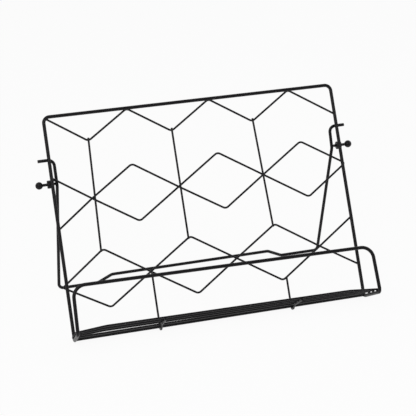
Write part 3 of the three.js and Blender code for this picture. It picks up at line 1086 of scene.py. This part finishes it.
class BookstandOperator:
    """What the operators share: bending the wires of some of the layout's groups."""

    bl_options = {"REGISTER", "UNDO"}

    def wires_of(self, layout, groups):
        """The wires of some of the layout's groups, by name."""
        return {name: wire for group in groups for name, wire in getattr(layout, group)().items()}

    def bend(self, context, *groups):
        """Builds the stand's wires of some groups."""
        layout = Layout(context.scene.bookstand)
        coated_wires(self.wires_of(layout, groups), layout.panel_place, "stand")
        return {"FINISHED"}


class BOOKSTAND_OT_main_frame(BookstandOperator, Operator):
    """Bend the closed loop of the panel, shelf sides, posts and front rail"""

    bl_idname = "bookstand.main_frame"
    bl_label = "Main Frame"

    def execute(self, context):
        return self.bend(context, "main_frame")


class BOOKSTAND_OT_shelf(BookstandOperator, Operator):
    """Lay the rear wire and the wires across the shelf"""

    bl_idname = "bookstand.shelf"
    bl_label = "Shelf Wires"

    def execute(self, context):
        return self.bend(context, "shelf")


class BOOKSTAND_OT_stays(BookstandOperator, Operator):
    """Bend the two stays under the shelf and up the panel"""

    bl_idname = "bookstand.stays"
    bl_label = "Shelf Stays"

    def execute(self, context):
        return self.bend(context, "stays")


class BOOKSTAND_OT_infill(BookstandOperator, Operator):
    """Bend the zigzag, the rows of diamonds, the heel wire and the uprights of the panel"""

    bl_idname = "bookstand.infill"
    bl_label = "Panel Infill"

    def execute(self, context):
        return self.bend(context, "zigzag", "diamonds", "heel_wire", "uprights")


class BOOKSTAND_OT_pivot_ears(BookstandOperator, Operator):
    """Turn the two ears that carry the leg's pins"""

    bl_idname = "bookstand.pivot_ears"
    bl_label = "Pivot Ears"

    def execute(self, context):
        layout = Layout(context.scene.bookstand)
        for name, side in SIDES.items():
            here = Matrix.Translation(layout.ear_at(side)) @ outward(side)
            profile = ear_profile(layout.hinge)
            turned_piece(f"pivot_ear_{name}", profile, layout.panel_place @ here, "stand")
        return {"FINISHED"}


class BOOKSTAND_OT_rear_leg(BookstandOperator, Operator):
    """Bend the folding leg"""

    bl_idname = "bookstand.rear_leg"
    bl_label = "Rear Leg"

    def execute(self, context):
        layout = Layout(context.scene.bookstand)
        coated_wires(layout.rear_leg(), layout.leg_place, "leg")
        return {"FINISHED"}


class BOOKSTAND_OT_hinge_pins(BookstandOperator, Operator):
    """Turn the leg's pins and the balls on their ends"""

    bl_idname = "bookstand.hinge_pins"
    bl_label = "Pins and Balls"

    def execute(self, context):
        layout = Layout(context.scene.bookstand)
        inner, outer = layout.pin_span()
        for name, side in SIDES.items():
            pin = pin_profile(layout.hinge, inner, outer)
            turned_piece(f"pivot_pin_{name}", pin, layout.leg_place @ outward(side), "leg")
            ball_x = side * (layout.side_x + BALL_OFFSET)
            ball_place = Matrix.Translation((ball_x, 0, 0)) @ outward(side)
            ball = ball_profile(layout.hinge)
            turned_piece(f"pin_ball_{name}", ball, layout.leg_place @ ball_place, "leg")
        return {"FINISHED"}


class BOOKSTAND_OT_welds(BookstandOperator, Operator):
    """Set a bead at each place where two wires are welded"""

    bl_idname = "bookstand.welds"
    bl_label = "Weld Beads"

    def execute(self, context):
        layout = Layout(context.scene.bookstand)
        hinge = layout.hinge
        wires = self.wires_of(layout, STAND_GROUPS)
        half = Vector((hinge.ear_thickness / 2, 0, 0))
        for name, side in SIDES.items():
            at = layout.ear_at(side)
            wires[f"ear_{name}"] = Wire(hinge.ear, [(at - half, 0), (at + half, 0)])
        weld_beads("weld_beads_stand", welded_lines(wires, layout.panel_place), "stand")
        leg_wires = layout.rear_leg()
        inner, outer = layout.pin_span()
        for name, side in SIDES.items():
            ends = [corner(side * x, 0, 0) for x in (inner, outer)]
            leg_wires[f"pin_{name}"] = Wire(hinge.pin, ends)
        weld_beads("weld_beads_leg", welded_lines(leg_wires, layout.leg_place), "leg")
        return {"FINISHED"}


def add_lamp(name, place, size, watts):
    """A large soft lamp that points at the stand."""
    data = bpy.data.lights.new(name, "AREA")
    data.shape, data.size, data.energy = "DISK", size, watts
    lamp = new_object(name, data)
    lamp.location = place
    lamp.rotation_euler = (Vector(LAMP_AIM) - Vector(place)).to_track_quat("-Z", "Y").to_euler()
    return lamp


class BOOKSTAND_OT_stage(BookstandOperator, Operator):
    """Set the floor, lamps, surroundings and camera"""

    bl_idname = "bookstand.stage"
    bl_label = "Stage"

    def execute(self, context):
        look = context.scene.bookstand.studio
        half = FLOOR_REACH
        corners = [(-half, -half, 0), (half, -half, 0), (half, half, 0), (-half, half, 0)]
        sheet = bpy.data.meshes.new("studio_floor")
        sheet.from_pydata(corners, [], [(0, 1, 2, 3)])
        sheet.materials.append(studio_floor(look))
        floor = new_object("studio_floor", sheet)
        key = add_lamp("key_lamp", KEY_AT, KEY_SIZE, look.key)
        fill = add_lamp("fill_lamp", FILL_AT, FILL_SIZE, look.fill)

        world = bpy.data.worlds.new("white_room")
        world.use_nodes = True
        tree = world.node_tree
        tree.nodes.clear()
        strength = room_strength(tree, look)
        inputs = {"Color": linear(look.light), "Strength": strength}
        room = add_node(tree, "ShaderNodeBackground", inputs)
        add_node(tree, "ShaderNodeOutputWorld", {"Surface": room})
        context.scene.world = world

        data = bpy.data.cameras.new("photo_camera")
        data.lens, data.sensor_width = CAMERA_LENS, CAMERA_SENSOR
        camera = new_object("photo_camera", data)
        camera.location = CAMERA_AT
        tilt = math.pi / 2 - CAMERA_ELEVATION
        camera.rotation_euler = (tilt, 0, CAMERA_AZIMUTH)
        context.scene.camera = camera
        context.scene.view_settings.view_transform = "Standard"
        return {"FINISHED"}


class BOOKSTAND_PT_sidebar(Panel):
    """Lists the bookstand's settings and pieces"""

    bl_idname = "BOOKSTAND_PT_sidebar"
    bl_label = "Folding Bookstand"
    bl_space_type = "VIEW_3D"
    bl_region_type = "UI"
    bl_category = "Bookstand"

    def draw(self, context):
        settings = context.scene.bookstand
        for part in ("wires", "stand", "hinge", "coat", "studio"):
            group, box = getattr(settings, part), self.layout.box()
            for key in group.bl_rna.properties.keys():
                if key not in ("rna_type", "name"):
                    box.prop(group, key)
        for operator in OPERATORS:
            self.layout.operator(operator.bl_idname)


SETTINGS = (WireSizes, StandSizes, HingeSizes, CoatLook, StudioLook, BookstandSettings)
OPERATORS = (
    BOOKSTAND_OT_main_frame,
    BOOKSTAND_OT_shelf,
    BOOKSTAND_OT_stays,
    BOOKSTAND_OT_infill,
    BOOKSTAND_OT_pivot_ears,
    BOOKSTAND_OT_rear_leg,
    BOOKSTAND_OT_hinge_pins,
    BOOKSTAND_OT_welds,
    BOOKSTAND_OT_stage,
)
CLASSES = (*SETTINGS, *OPERATORS, BOOKSTAND_PT_sidebar)


def register():
    """Registers the classes and the scene's settings."""
    for cls in CLASSES:
        bpy.utils.register_class(cls)
    bpy.types.Scene.bookstand = PointerProperty(type=BookstandSettings)


def unregister():
    """Takes the settings and the classes away again."""
    del bpy.types.Scene.bookstand
    for cls in reversed(CLASSES):
        bpy.utils.unregister_class(cls)


def main():
    """Builds every piece and the stage."""
    register()
    for operator in OPERATORS:
        group, name = operator.bl_idname.split(".")
        getattr(getattr(bpy.ops, group), name)()


if __name__ == "__main__":
    main()
